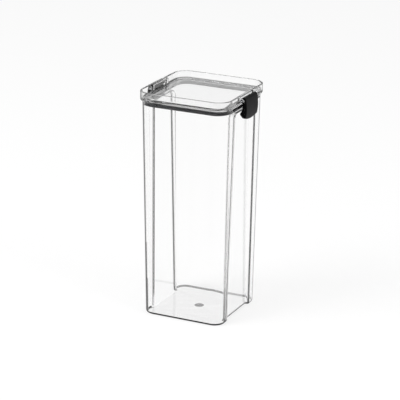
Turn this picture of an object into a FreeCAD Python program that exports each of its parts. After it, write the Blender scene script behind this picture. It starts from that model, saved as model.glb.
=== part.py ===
import FreeCAD, Part
import math
import os
import re

import Sketcher

# Square food canister with a latched lid
# Frame: origin on the table under the middle of the canister, +Z up, X across the two latches.
# Lengths are millimetres, angles degrees.

SIZES = [
    # Canister
    ("base_half", 45.3, "half width of the canister at the table"),
    ("base_corner", 12.0, "plan corner radius at the table"),
    ("body_height", 232.0, "table to the rim of the canister"),
    ("draft_angle", 1.04, "lean of the outer walls"),
    ("wall", 1.6, "wall and floor of the canister"),
    ("base_round", 1.0, "round outside, between the walls and the table"),
    ("floor_round", 1.0, "round inside, between the walls and the floor"),
    ("rim_round", 0.5, "round on the rim of the canister"),
    ("grip_depth", 3.6, "depth of the grip recess in each latch side, at the table"),
    ("grip_floor_draft", 0.42, "lean of the back wall of the grip recess"),
    ("grip_half_width", 26.6, "half width of the grip recess at the table"),
    ("grip_draft", 0.7, "lean of the side walls of the grip recess"),
    ("grip_corner", 5.0, "round in the upper corners of the grip recess"),
    ("grip_inner_round", 2.0, "round along the inner edges of the grip recess"),
    ("grip_outer_round", 1.2, "round along the outer edges of the grip recess"),
    ("ledge_drop", 8.0, "rim of the canister down to the ledge that the hooks catch"),
    ("gate_radius", 5.0, "moulding gate recess under the floor"),
    ("gate_depth", 0.6, "depth of the gate recess"),
    # Lid
    ("lid_overhang", 1.49, "how far the lid stands out over the rim of the canister"),
    ("lid_corner", 15.5, "plan corner radius of the lid"),
    ("lid_height", 10.0, "height of the lid above the rim of the canister"),
    ("lid_lower_round", 1.2, "round under the outer edge of the lid"),
    ("lid_upper_round", 0.6, "round along the top of the stacking rim"),
    ("stack_wall", 2.2, "thickness of the stacking rim"),
    ("plate", 2.6, "thickness of the flat plate that lies on the canister"),
    ("plate_round", 0.6, "round between the plate and the walls that stand on it"),
    ("plug_depth", 5.0, "depth of the hollow plug below the plate"),
    ("plug_wall", 1.7, "thickness of the plug wall"),
    ("bead_height", 1.2, "height of the bead that keeps the seal on the plug"),
    ("bead_reach", 1.4, "how far the bead stands out of the plug"),
    # Seal
    ("seal_thickness", 2.3, "silicone ring from the plug to its sealing face"),
    ("seal_clearance", 0.25, "gap from the sealing face to the canister at rest"),
    ("seal_groove_depth", 1.0, "depth of the groove between the two sealing lips"),
    ("seal_groove_height", 1.0, "height of that groove"),
    ("seal_lip_round", 0.6, "round on the sealing lips"),
    # Hinges
    ("pivot_out", 1.4, "pin axis outside the lid's side"),
    ("pivot_drop", 5.4, "pin axis below the lid's top"),
    ("pin_radius", 1.0, "hinge pin"),
    ("pin_clearance", 0.05, "running clearance of the latch on its pin"),
    ("pin_chamfer", 0.25, "chamfer on the ends of the pin"),
    ("lug_radius", 2.0, "hinge lugs on the lid"),
    ("lug_length", 2.0, "length of one lug along the pin"),
    ("pocket_gap", 0.35, "room round the latch in its pocket"),
    ("boss_wall", 1.4, "wall behind the latch pocket"),
    # Latches
    ("latch_half_width", 14.5, "half width of a latch"),
    ("barrel_radius", 1.9, "barrel of the latch round the pin"),
    ("cap_rise", 3.3, "top of the latch above the pin"),
    ("cap_radius", 2.4, "rounded upper edge of the latch"),
    ("cap_out", 1.3, "middle of that round, outside the pin axis"),
    ("crown_radius", 46.0, "crown of the outer face, seen from the side"),
    ("crown_drop", 8.5, "pin axis down to the middle of the crown"),
    ("latch_drop", 20.9, "pin axis down to the lower edge of the latch, before its curve is cut"),
    ("lip_arc", 49.0, "curve of the lower edge of the latch, seen from outside"),
    ("lip_trim", 0.6, "what that curve takes off the middle of the lower edge"),
    ("latch_edge", 0.9, "round along the outer edges of the latch"),
    ("cheek_tip_in", 2.8, "tip of the cheeks, inside the pin axis"),
    ("cheek_tip_drop", 14.4, "tip of the cheeks below the pin axis"),
    ("cheek_start_drop", 6.6, "where the cheeks begin below the pin axis"),
    ("cheek_radius", 12.26, "hollow curve of the cheeks' inner edge"),
    ("cheek_wall", 1.8, "thickness of one cheek"),
    ("plate_wall", 2.2, "thickness of the latch plate between the cheeks"),
    ("floor_wall", 1.5, "thickness of the sloping lower wall of the latch"),
    ("hook_half_width", 10.0, "half width of the hook"),
    ("hook_bite", 1.4, "how far the hook reaches under the ledge"),
    ("hook_gap", 0.3, "gap from the hook's slope to the round edge of the ledge"),
    ("hook_slope", 56.0, "lean of the hook's working face"),
    ("hook_nose", 1.1, "height of the hook's nose"),
    ("hook_height", 5.0, "height of the hook where it joins the plate"),
]

doc = FreeCAD.newDocument("food_canister")


# Size sheet and formulas

def make_sheet():
    """Write every driving size to its own named cell."""
    table = doc.addObject("Spreadsheet::Sheet", "Sizes")
    for row, (alias, amount, note) in enumerate(SIZES, start=1):
        table.set(f"A{row}", note)
        table.set(f"B{row}", str(amount))
        table.setAlias(f"B{row}", alias)
    doc.recompute()
    return table


sheet = make_sheet()
ALIAS_WORD = re.compile(r"\b(" + "|".join(name for name, _, _ in SIZES) + r")\b")


def formula(text):
    """Expression in which each size name points at its cell."""
    return ALIAS_WORD.sub(r"Sizes.\1", text)


def number(text):
    """Present value of a formula."""
    return float(sheet.evalExpression(formula(text)))


# Heights and half widths that several pieces share
LEDGE_Z = "(body_height - ledge_drop)"
LID_TOP = "(body_height + lid_height)"
PLATE_TOP = "(body_height + plate)"
PLUG_BOTTOM = "(body_height - plug_depth)"
WALL_LEAN = "tan(draft_angle * 1 deg)"
LID_HALF = f"(base_half + body_height * {WALL_LEAN} + lid_overhang)"
RIM_CORNER = f"(base_corner + body_height * {WALL_LEAN})"
LEDGE_HALF = f"(base_half + {LEDGE_Z} * {WALL_LEAN})"
SEAL_BOTTOM = f"({PLUG_BOTTOM} + bead_height)"
SEAL_BOTTOM_HALF = f"(base_half + {SEAL_BOTTOM} * {WALL_LEAN})"
SEAL_HALF = f"({SEAL_BOTTOM_HALF} - wall - seal_clearance)"
SEAL_CORNER = f"({RIM_CORNER} - wall - seal_clearance)"
PLUG_HALF = f"({SEAL_HALF} - seal_thickness)"
PLUG_CORNER = f"({SEAL_CORNER} - seal_thickness)"
PIVOT_X = f"({LID_HALF} + pivot_out)"
PIVOT_Z = f"({LID_TOP} - pivot_drop)"
LUG_END = "(latch_half_width + pocket_gap + lug_length)"
CAP_CENTRE_RISE = "(cap_rise - cap_radius)"
SWING_RADIUS = f"(sqrt(cap_out ^ 2 + {CAP_CENTRE_RISE} ^ 2) + cap_radius)"
POCKET_BACK = f"({PIVOT_X} - {SWING_RADIUS})"

# Outer face of a latch: the crown's arc runs smoothly into the rounded upper edge
CAP_X = f"({PIVOT_X} + cap_out)"
CAP_Z = f"({PIVOT_Z} + {CAP_CENTRE_RISE})"
CROWN_Z = f"({PIVOT_Z} - crown_drop)"
CROWN_X = f"({CAP_X} - sqrt((crown_radius - cap_radius) ^ 2 - ({CAP_CENTRE_RISE} + crown_drop) ^ 2))"
JOIN_SHARE = "(crown_radius / (crown_radius - cap_radius))"
JOIN_X = f"({CROWN_X} + ({CAP_X} - {CROWN_X}) * {JOIN_SHARE})"
JOIN_Z = f"({CROWN_Z} + ({CAP_Z} - {CROWN_Z}) * {JOIN_SHARE})"
LIP_X = f"({CROWN_X} + sqrt(crown_radius ^ 2 - (latch_drop - crown_drop) ^ 2))"
LIP_Z = f"({PIVOT_Z} - latch_drop)"


# Bodies, sketches and features

def new_body(label):
    body = doc.addObject("PartDesign::Body", label)
    body.Label = label
    return body


def new_sketch(body, name, role, offset="0"):
    """Sketch on one of the body's own origin planes, moved along the plane's normal."""
    sketch = body.newObject("Sketcher::SketchObject", name)
    plane = next(item for item in body.Origin.OriginFeatures if item.Role == role)
    sketch.AttachmentSupport = [(plane, "")]
    sketch.MapMode = "FlatFace"
    sketch.setExpression("AttachmentOffset.Base.z", formula(offset))
    return sketch


def dimension(sketch, constraint, text):
    index = sketch.addConstraint(constraint)
    sketch.setExpression(f"Constraints[{index}]", formula(text))


def place(sketch, geometry, end, x_text, y_text):
    """Fix one end of a line or arc at a point measured from the sketch's origin."""
    across = Sketcher.Constraint("DistanceX", -1, 1, geometry, end, number(x_text))
    up = Sketcher.Constraint("DistanceY", -1, 1, geometry, end, number(y_text))
    dimension(sketch, across, x_text)
    dimension(sketch, up, y_text)


def outline(sketch, corners):
    """Closed outline through corners (x, y), with (x, y, radius, turn) where an arc follows.

    turn is 1 for an arc that bends to the left on its way to the next corner and -1 to the right.
    """
    ends = []
    count = len(corners)
    for index, corner in enumerate(corners):
        start = FreeCAD.Vector(number(corner[0]), number(corner[1]), 0)
        following = corners[(index + 1) % count]
        finish = FreeCAD.Vector(number(following[0]), number(following[1]), 0)
        if len(corner) == 2:
            item = sketch.addGeometry(Part.LineSegment(start, finish))
            ends.append((item, 1, 2))
            continue
        radius, turn = number(corner[2]), corner[3]
        chord = finish - start
        left = FreeCAD.Vector(-chord.y, chord.x, 0).normalize()
        reach = math.sqrt(radius ** 2 - (chord.Length / 2) ** 2)
        centre = (start + finish) * 0.5 + left * (turn * reach)
        first, last = (start, finish) if turn > 0 else (finish, start)
        angles = [math.atan2(point.y - centre.y, point.x - centre.x) for point in (first, last)]
        whole = Part.Circle(centre, FreeCAD.Vector(0, 0, 1), radius)
        item = sketch.addGeometry(Part.ArcOfCircle(whole, angles[0], angles[1]))
        ends.append((item, 1, 2) if turn > 0 else (item, 2, 1))
        dimension(sketch, Sketcher.Constraint("Radius", item, radius), corner[2])
    for index, (item, start, finish) in enumerate(ends):
        following, following_start, _ = ends[(index + 1) % count]
        sketch.addConstraint(Sketcher.Constraint("Coincident", item, finish, following, following_start))
        place(sketch, item, start, corners[index][0], corners[index][1])


def rounded_square(sketch, half, radius):
    """Square about the sketch's origin with four equal round corners."""
    mid = f"({half} - {radius})"
    low_half, low_mid = f"-{half}", f"-{mid}"
    outline(sketch, [
        (low_mid, low_half), (mid, low_half, radius, 1),
        (half, low_mid), (half, mid, radius, 1),
        (mid, half), (low_mid, half, radius, 1),
        (low_half, mid), (low_half, low_mid, radius, 1),
    ])


def rectangle(sketch, x_low, x_high, y_low, y_high):
    outline(sketch, [(x_low, y_low), (x_high, y_low), (x_high, y_high), (x_low, y_high)])


def circle(sketch, x_text, y_text, radius):
    centre = FreeCAD.Vector(number(x_text), number(y_text), 0)
    item = sketch.addGeometry(Part.Circle(centre, FreeCAD.Vector(0, 0, 1), number(radius)))
    place(sketch, item, 3, x_text, y_text)
    dimension(sketch, Sketcher.Constraint("Radius", item, number(radius)), radius)


def mirrored(x_text):
    return f"-({x_text})"


def extrude(body, kind, sketch, length, midplane=False, downwards=False):
    """Pad or pocket of a sketch, from its plane or to both sides of it."""
    feature = body.newObject(f"PartDesign::{kind}", sketch.Name + "_" + kind.lower())
    feature.Profile = sketch
    feature.setExpression("Length", formula(length))
    feature.Midplane = midplane
    feature.Reversed = downwards
    doc.recompute()
    return feature


def pad(body, sketch, length, **options):
    return extrude(body, "Pad", sketch, length, **options)


def pocket(body, sketch, length, **options):
    before = body.Tip.Shape.Volume
    feature = extrude(body, "Pocket", sketch, length, **options)
    if feature.Shape.Volume >= before:
        raise RuntimeError(f"{feature.Name} cuts nothing")
    return feature


def edge_names(shape, wanted):
    return [f"Edge{index}" for index, edge in enumerate(shape.Edges, start=1) if wanted(edge)]


def middle(edge):
    return edge.valueAt((edge.FirstParameter + edge.LastParameter) / 2)


def runs_along(edge, axis):
    """True for a nearly straight edge within a few degrees of an axis."""
    if len(edge.Vertexes) < 2:
        return False
    chord = edge.Vertexes[1].Point - edge.Vertexes[0].Point
    return chord.Length > 0.98 * edge.Length and abs(getattr(chord, axis)) > 0.99 * chord.Length


def near(first, second, slack=0.05):
    return abs(first - second) < slack


def at_height(height):
    """Test for an edge that lies level at a height."""
    def level(edge):
        return near(edge.BoundBox.ZMin, height, 0.001) and near(edge.BoundBox.ZMax, height, 0.001)
    return level


def soften(body, name, wanted, size, kind="Fillet"):
    """Round or chamfer the body's edges that pass a test."""
    base = body.Tip
    names = edge_names(base.Shape, wanted)
    if not names:
        raise RuntimeError(f"{name} finds no edge")
    feature = body.newObject(f"PartDesign::{kind}", name)
    feature.Base = (base, names)
    feature.setExpression("Radius" if kind == "Fillet" else "Size", formula(size))
    doc.recompute()
    return feature


def lean(body, name, wanted, angle):
    """Draft the body's upright faces that pass a test, so that it widens upwards."""
    base = body.Tip
    names = []
    for index, face in enumerate(base.Shape.Faces, start=1):
        first, last, low, high = face.ParameterRange
        normal = face.normalAt((first + last) / 2, (low + high) / 2)
        if abs(normal.z) < 0.5 and wanted(face, normal):
            names.append(f"Face{index}")
    feature = body.newObject("PartDesign::Draft", name)
    feature.Base = (base, names)
    table = next(item for item in body.Origin.OriginFeatures if item.Role == "XY_Plane")
    feature.NeutralPlane = (table, [""])
    feature.Reversed = True
    feature.setExpression("Angle", formula(angle))
    doc.recompute()
    return feature


# Canister: drafted square block with two grip recesses, hollowed by a smaller block of the same shape

def make_block(label, inset, lower_round):
    """Drafted block with a grip recess in each latch side, its faces set in by a wall thickness."""
    body = new_body(label)
    plan = new_sketch(body, label + "_plan", "XY_Plane", inset)
    rounded_square(plan, f"(base_half - {inset})", f"(base_corner - {inset})")
    pad(body, plan, "body_height")

    grips = new_sketch(body, label + "_grips", "XY_Plane")
    grip_back = f"(base_half - grip_depth - {inset})"
    grip_half = f"(grip_half_width + {inset})"
    outside = "(2 * base_half)"
    rectangle(grips, grip_back, outside, f"-{grip_half}", grip_half)
    rectangle(grips, mirrored(outside), mirrored(grip_back), f"-{grip_half}", grip_half)
    pocket(body, grips, f"({LEDGE_Z} + {inset})", downwards=True)

    def side_face(face, normal):
        return abs(normal.y) > 0.99 and near(abs(face.CenterOfMass.y), number(grip_half))

    def back_face(face, normal):
        return abs(normal.x) > 0.99 and near(abs(face.CenterOfMass.x), number(grip_back))

    def outer_face(face, normal):
        return not side_face(face, normal) and not back_face(face, normal)

    lean(body, label + "_wall_draft", outer_face, "draft_angle")
    lean(body, label + "_back_draft", back_face, "grip_floor_draft")
    lean(body, label + "_side_draft", side_face, "grip_draft")

    def upper_corner(edge):
        return runs_along(edge, "x") and near(middle(edge).z, number(f"{LEDGE_Z} + {inset}"))

    def grip_upright(edge):
        return runs_along(edge, "z") and abs(middle(edge).y) < number(grip_half) + 0.5

    def inner_upright(edge):
        return grip_upright(edge) and abs(middle(edge).x) < number("base_half - wall")

    def outer_upright(edge):
        return grip_upright(edge) and not inner_upright(edge)

    soften(body, label + "_grip_corners", upper_corner, f"grip_corner + {inset}")
    soften(body, label + "_grip_inner_edges", inner_upright, "grip_inner_round")
    soften(body, label + "_grip_outer_edges", outer_upright, "grip_outer_round")
    soften(body, label + "_lower_edges", at_height(number(inset)), lower_round)
    return body


def make_canister():
    cavity = make_block("cavity", "wall", "floor_round")
    body = make_block("canister_body", "0", "base_round")
    cut = body.newObject("PartDesign::Boolean", "cavity_cut")
    cut.setObjects([cavity])
    cut.Type = "Cut"
    doc.recompute()
    soften(body, "rim_edges", at_height(number("body_height")), "rim_round")

    gate = new_sketch(body, "gate_plan", "XY_Plane")
    circle(gate, "0", "0", "gate_radius")
    pocket(body, gate, "gate_depth", downwards=True)
    return body


# Lid: flat plate with a stacking rim, hollow plug with a bead, and two hinge pockets

def make_lid():
    body = new_body("lid_cover")
    rim = new_sketch(body, "lid_plan", "XY_Plane", "body_height")
    rounded_square(rim, LID_HALF, "lid_corner")
    pad(body, rim, "lid_height")
    inside = new_sketch(body, "stack_plan", "XY_Plane", LID_TOP)
    rounded_square(inside, f"({LID_HALF} - stack_wall)", "(lid_corner - stack_wall)")
    pocket(body, inside, "lid_height - plate")
    soften(body, "plate_edges", at_height(number(PLATE_TOP)), "plate_round")

    plug = new_sketch(body, "plug_plan", "XY_Plane", "body_height")
    rounded_square(plug, PLUG_HALF, PLUG_CORNER)
    pad(body, plug, "plug_depth", downwards=True)
    bead = new_sketch(body, "bead_plan", "XY_Plane", PLUG_BOTTOM)
    rounded_square(bead, f"({PLUG_HALF} + bead_reach)", f"({PLUG_CORNER} + bead_reach)")
    pad(body, bead, "bead_height")
    core = new_sketch(body, "plug_core_plan", "XY_Plane", PLUG_BOTTOM)
    rounded_square(core, f"({PLUG_HALF} - plug_wall)", f"({PLUG_CORNER} - plug_wall)")
    pocket(body, core, "plug_depth", downwards=True)

    boss = new_sketch(body, "boss_plan", "XY_Plane", PLATE_TOP)
    rim_middle = f"({LID_HALF} - stack_wall / 2)"
    boss_inside = f"({POCKET_BACK} - pocket_gap - boss_wall)"
    rectangle(boss, boss_inside, rim_middle, mirrored(LUG_END), LUG_END)
    rectangle(boss, mirrored(rim_middle), mirrored(boss_inside), mirrored(LUG_END), LUG_END)
    pad(body, boss, "lid_height - plate")

    lugs = new_sketch(body, "lug_section", "XZ_Plane")
    low, high = f"({PIVOT_Z} - lug_radius)", f"({PIVOT_Z} + lug_radius)"
    nose = f"({PIVOT_X} + lug_radius)"
    outline(lugs, [(rim_middle, low), (PIVOT_X, low, "lug_radius", 1), (nose, PIVOT_Z, "lug_radius", 1),
                   (PIVOT_X, high), (rim_middle, high)])
    outline(lugs, [(mirrored(rim_middle), low), (mirrored(rim_middle), high),
                   (mirrored(PIVOT_X), high, "lug_radius", 1),
                   (mirrored(nose), PIVOT_Z, "lug_radius", 1), (mirrored(PIVOT_X), low)])
    pad(body, lugs, f"2 * {LUG_END}", midplane=True)

    hollow = new_sketch(body, "pocket_section", "XZ_Plane")
    back, outside = f"({POCKET_BACK} - pocket_gap)", f"({nose} + lug_radius)"
    floor = f"({PIVOT_Z} - max(lug_radius; barrel_radius) - pocket_gap)"
    roof = f"({PIVOT_Z} + {SWING_RADIUS} + pocket_gap / 2)"
    rectangle(hollow, back, outside, floor, roof)
    rectangle(hollow, mirrored(outside), mirrored(back), floor, roof)
    pocket(body, hollow, "2 * (latch_half_width + pocket_gap)", midplane=True)

    holes = new_sketch(body, "pin_holes", "XZ_Plane")
    circle(holes, PIVOT_X, PIVOT_Z, "pin_radius")
    circle(holes, mirrored(PIVOT_X), PIVOT_Z, "pin_radius")
    pocket(body, holes, f"2 * {LUG_END}", midplane=True)

    def under_plate(half):
        """Test for an edge under the plate, of a rounded square with a half width."""
        def wanted(edge):
            box = edge.BoundBox
            reach = max(abs(box.XMax), abs(box.XMin), abs(box.YMax), abs(box.YMin))
            return at_height(number("body_height"))(edge) and near(reach, number(half))
        return wanted

    soften(body, "lid_lower_edge", under_plate(LID_HALF), "lid_lower_round")
    soften(body, "plug_core_edge", under_plate(f"{PLUG_HALF} - plug_wall"), "plate_round")
    soften(body, "lid_upper_edges", at_height(number(LID_TOP)), "lid_upper_round")
    return body


# Seal: silicone ring on the plug, with two lips towards the canister

def make_seal():
    body = new_body("lid_seal")
    height = f"(body_height - {SEAL_BOTTOM})"
    ring = new_sketch(body, "seal_plan", "XY_Plane", SEAL_BOTTOM)
    rounded_square(ring, SEAL_HALF, SEAL_CORNER)
    rounded_square(ring, PLUG_HALF, PLUG_CORNER)
    pad(body, ring, height)

    seal_half = number(SEAL_HALF)

    def lip_edge(edge):
        box = edge.BoundBox
        reach = max(abs(box.XMax), abs(box.XMin), abs(box.YMax), abs(box.YMin))
        return near(reach, seal_half) and near(box.ZMin, box.ZMax, 0.001)

    soften(body, "lip_edges", lip_edge, "seal_lip_round")
    groove = new_sketch(body, "seal_groove_plan", "XY_Plane", f"({SEAL_BOTTOM} + {height} / 2)")
    outside = "seal_groove_depth"
    rounded_square(groove, f"({SEAL_HALF} + {outside})", f"({SEAL_CORNER} + {outside})")
    rounded_square(groove, f"({SEAL_HALF} - {outside})", f"({SEAL_CORNER} - {outside})")
    pocket(body, groove, "seal_groove_height", midplane=True)
    return body


# Latch: crowned plate with two cheeks, a hook for the ledge and a barrel on the pin

def make_latch(label, half_turn):
    body = new_body(label)
    section = new_sketch(body, label + "_section", "XZ_Plane")
    cap_top = f"({PIVOT_Z} + cap_rise)"
    tip_x, tip_z = f"({PIVOT_X} - cheek_tip_in)", f"({PIVOT_Z} - cheek_tip_drop)"
    outline(section, [
        (PIVOT_X, cap_top),
        (PIVOT_X, f"({PIVOT_Z} - cheek_start_drop)", "cheek_radius", -1),
        (tip_x, tip_z),
        (LIP_X, LIP_Z, "crown_radius", 1),
        (JOIN_X, JOIN_Z, "cap_radius", 1),
        (CAP_X, cap_top),
    ])
    pad(body, section, "2 * latch_half_width", midplane=True)

    floor_slope = f"(({tip_z} - {LIP_Z}) / ({LIP_X} - {tip_x}))"
    floor_rise = f"(floor_wall * sqrt(1 + {floor_slope} ^ 2))"
    plate_x = f"({LIP_X} - plate_wall)"
    open_x = f"({tip_x} - cheek_tip_in)"
    hollow_top = f"({PIVOT_Z} - cheek_start_drop)"
    hollow = new_sketch(body, label + "_hollow", "XZ_Plane")
    outline(hollow, [
        (open_x, hollow_top),
        (open_x, f"({LIP_Z} + {floor_rise} + ({LIP_X} - {open_x}) * {floor_slope})"),
        (plate_x, f"({LIP_Z} + {floor_rise} + plate_wall * {floor_slope})"),
        (plate_x, hollow_top),
    ])
    pocket(body, hollow, "2 * (latch_half_width - cheek_wall)", midplane=True)

    barrel = new_sketch(body, label + "_barrel", "XZ_Plane")
    circle(barrel, PIVOT_X, PIVOT_Z, "barrel_radius")
    pad(body, barrel, "2 * latch_half_width", midplane=True)

    hook = new_sketch(body, label + "_hook", "XZ_Plane")
    hook_lean = "tan(hook_slope * 1 deg)"
    nose_x = f"({LEDGE_HALF} - hook_bite)"
    edge_reach = "(grip_outer_round + hook_gap - (grip_outer_round - hook_bite) * sin(hook_slope * 1 deg))"
    nose_top = f"({LEDGE_Z} + grip_outer_round - {edge_reach} / cos(hook_slope * 1 deg))"
    hook_low = f"({nose_top} - hook_nose)"
    hook_top = f"({hook_low} + hook_height)"
    hook_root = f"({nose_x} + (hook_height - hook_nose) / {hook_lean})"
    hook_end = f"({plate_x} + plate_wall / 4)"
    outline(hook, [
        (nose_x, nose_top),
        (nose_x, hook_low),
        (hook_end, hook_low),
        (hook_end, hook_top),
        (hook_root, hook_top),
    ])
    pad(body, hook, "2 * hook_half_width", midplane=True)

    curve = new_sketch(body, label + "_lower_curve", "YZ_Plane")
    wide = "(1.2 * latch_half_width)"
    curve_end = f"({LIP_Z} + lip_trim + lip_arc - sqrt(lip_arc ^ 2 - {wide} ^ 2))"
    below = f"({LIP_Z} - latch_drop)"
    outline(curve, [(mirrored(wide), curve_end, "lip_arc", 1), (wide, curve_end), (wide, below),
                    (mirrored(wide), below)])
    pocket(body, curve, f"2 * {PIVOT_X}", downwards=True)

    bore = new_sketch(body, label + "_bore", "XZ_Plane")
    circle(bore, PIVOT_X, PIVOT_Z, "(pin_radius + pin_clearance)")
    pocket(body, bore, "4 * latch_half_width", midplane=True)

    side = number("latch_half_width")

    def outer_edge(edge):
        point = middle(edge)
        return near(abs(point.y), side) and point.x > number(plate_x) and point.z > number(f"{LIP_Z} + plate_wall")

    soften(body, label + "_outer_edges", outer_edge, "latch_edge")
    body.Placement = half_turn
    return body


# Hinge pin, held in the two lugs of one side

def make_pin(label, half_turn):
    body = new_body(label)
    section = new_sketch(body, label + "_section", "XZ_Plane")
    circle(section, PIVOT_X, PIVOT_Z, "pin_radius")
    pad(body, section, f"2 * {LUG_END}", midplane=True)
    soften(body, label + "_ends", lambda edge: edge.Curve.TypeId == "Part::GeomCircle", "pin_chamfer",
           kind="Chamfer")
    body.Placement = half_turn
    return body


def make_parts():
    straight = FreeCAD.Placement()
    turned = FreeCAD.Placement(FreeCAD.Vector(0, 0, 0), FreeCAD.Rotation(FreeCAD.Vector(0, 0, 1), 180))
    parts = [make_canister(), make_lid(), make_seal()]
    for side, half_turn in (("right", straight), ("left", turned)):
        parts.append(make_latch(f"latch_{side}", half_turn))
        parts.append(make_pin(f"latch_pin_{side}", half_turn))
    doc.recompute()
    return parts


def check_parts(parts):
    """Stop unless every feature is sound and every piece is one closed solid."""
    for item in doc.Objects:
        if "Invalid" in item.State or "Error" in item.State:
            raise RuntimeError(f"{item.Name} failed: {item.State}")
    for body in parts:
        shape = body.Shape
        if shape.isNull() or not shape.isValid() or len(shape.Solids) != 1:
            raise RuntimeError(f"{body.Label} is not one sound solid")


def write_parts(parts):
    os.makedirs("parts", exist_ok=True)
    for body in parts:
        body.Shape.exportStep(f"parts/{body.Label}.step")
        box = body.Shape.BoundBox
        print(f"{body.Label}: {body.Shape.Volume:.1f} mm3, z {box.ZMin:.2f} to {box.ZMax:.2f}")


pieces = make_parts()
check_parts(pieces)
write_parts(pieces)
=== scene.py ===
# %% [markdown]
# A clear food canister with a latched lid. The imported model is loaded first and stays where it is: it gives
# the place and size of every piece, and the bodies that move. The clear pieces and the seal are then
# modelled again with finer edges, because a clear wall shows each edge twice, and every piece gets a
# finish.

# %% Load the frame
import math

import bmesh
import bpy
from mathutils import Matrix, Vector


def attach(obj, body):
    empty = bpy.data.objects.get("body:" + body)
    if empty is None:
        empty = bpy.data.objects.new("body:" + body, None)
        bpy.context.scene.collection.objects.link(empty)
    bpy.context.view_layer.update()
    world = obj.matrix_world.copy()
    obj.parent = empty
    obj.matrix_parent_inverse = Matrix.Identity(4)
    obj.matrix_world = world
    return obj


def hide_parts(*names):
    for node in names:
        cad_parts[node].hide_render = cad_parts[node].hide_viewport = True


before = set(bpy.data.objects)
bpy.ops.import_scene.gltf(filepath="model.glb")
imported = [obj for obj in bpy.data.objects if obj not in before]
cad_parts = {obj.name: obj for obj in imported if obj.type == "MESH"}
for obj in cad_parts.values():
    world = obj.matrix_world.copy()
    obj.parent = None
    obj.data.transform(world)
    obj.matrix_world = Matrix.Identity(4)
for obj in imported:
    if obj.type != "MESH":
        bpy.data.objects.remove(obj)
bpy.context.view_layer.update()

# The object's sizes are written in millimetres, and MM turns them into metres
MM = 0.001
print("frame nodes:", sorted(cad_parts))

# %% [markdown]
# The camera stands where the photograph was taken from: about two metres away, to the right of the plain
# front and looking down on the lid. It could be moved by eye until the picture looks right. Instead its
# numbers come from fitting the lid's square rim, whose size is known. The lens is a touch longer than in
# that fit, so that the foot falls on its row as well, and the small roll and shift keep the canister in the
# same place in the picture.

# %% Camera
CAMERA_AROUND = math.radians(25.567)
CAMERA_UP = math.radians(18.67)
CAMERA_ROLL = math.radians(0.654)
CAMERA_DISTANCE = 2.02368
AIM = Vector((0, 0, 0.121))
LENS_LENGTH, SENSOR_WIDTH = 174.5, 36
SHIFT_ACROSS, SHIFT_UP = -0.0018, -0.0047
NEAREST_SEEN = 0.05

backwards = Vector((math.sin(CAMERA_AROUND) * math.cos(CAMERA_UP),
                    -math.cos(CAMERA_AROUND) * math.cos(CAMERA_UP),
                    math.sin(CAMERA_UP)))
level_right = Vector((math.cos(CAMERA_AROUND), math.sin(CAMERA_AROUND), 0))
level_up = backwards.cross(level_right)
right = level_right * math.cos(CAMERA_ROLL) + level_up * math.sin(CAMERA_ROLL)
up = level_up * math.cos(CAMERA_ROLL) - level_right * math.sin(CAMERA_ROLL)

bpy.ops.object.select_all(action="DESELECT")
bpy.ops.object.camera_add()
camera = bpy.context.object
camera.name = "photo_camera"
turn = Matrix((right, up, backwards)).transposed().to_4x4()
camera.matrix_world = Matrix.Translation(AIM + backwards * CAMERA_DISTANCE) @ turn
camera.data.sensor_width = SENSOR_WIDTH
camera.data.lens = LENS_LENGTH
camera.data.shift_x = SHIFT_ACROSS
camera.data.shift_y = SHIFT_UP
camera.data.clip_start = NEAREST_SEEN
bpy.context.scene.camera = camera
print("camera at", [round(value, 3) for value in camera.matrix_world.translation])

# %% [markdown]
# Every finish is a small node tree. Colours are written as sRGB hex values, the way a colour picker shows
# them, and one function turns them into the linear numbers that shading needs. A second function adds a
# node, sets it up and links its inputs, so that each finish reads from top to bottom.

# %% Colour and node helpers
def linear(hex_colour):
    """sRGB hex such as "#1b1b1c" to linear red, green, blue and full alpha."""
    parts = [int(hex_colour[place:place + 2], 16) / 255 for place in (1, 3, 5)]
    return [part / 12.92 if part <= 0.04045 else ((part + 0.055) / 1.055) ** 2.4 for part in parts] + [1]


def add_node(tree, kind, inputs=(), **settings):
    """New node; an input gets a value, or a link when it is given another node's output."""
    node = tree.nodes.new(kind)
    for name, value in settings.items():
        setattr(node, name, value)
    for name, value in dict(inputs).items():
        if isinstance(value, bpy.types.NodeSocket):
            tree.links.new(value, node.inputs[name])
        else:
            node.inputs[name].default_value = value
    return node


def new_finish(name):
    """New material with an empty node tree."""
    finish = bpy.data.materials.new(name)
    finish.use_nodes = True
    finish.node_tree.nodes.clear()
    return finish, finish.node_tree


print("black reads as", [round(part, 4) for part in linear("#1b1b1c")])

# %% [markdown]
# A clear object shows what stands round it, so lamps alone would leave it black. The room is white where
# the camera or a refraction looks at it, a little less bright in reflections, and a softer grey where it
# only lights the surfaces. A clear plate leads light along by many inner reflections. Light paths that end
# too soon turn black, so they get more bounces than Blender gives them by itself.

# %% Room light
ROOM_FILL, ROOM_MIRRORED, ROOM_SEEN = 0.5, 0.75, 1.0
LIGHT_BOUNCES = 32
scene = bpy.context.scene
scene.view_settings.view_transform = "Standard"
scene.cycles.max_bounces = LIGHT_BOUNCES
scene.cycles.glossy_bounces = LIGHT_BOUNCES
scene.cycles.transmission_bounces = LIGHT_BOUNCES
room = bpy.data.worlds.new("white_room")
room.use_nodes = True
scene.world = room
tree = room.node_tree
tree.nodes.clear()
rays = add_node(tree, "ShaderNodeLightPath")
mirrored = add_node(tree, "ShaderNodeMapRange", {
    "Value": rays.outputs["Is Glossy Ray"], "To Min": ROOM_FILL, "To Max": ROOM_MIRRORED})
looked_at = add_node(tree, "ShaderNodeMath", {
    0: rays.outputs["Is Camera Ray"], 1: rays.outputs["Is Transmission Ray"]}, operation="MAXIMUM")
level = add_node(tree, "ShaderNodeMapRange", {
    "Value": looked_at.outputs[0], "To Min": mirrored.outputs[0], "To Max": ROOM_SEEN})
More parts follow.
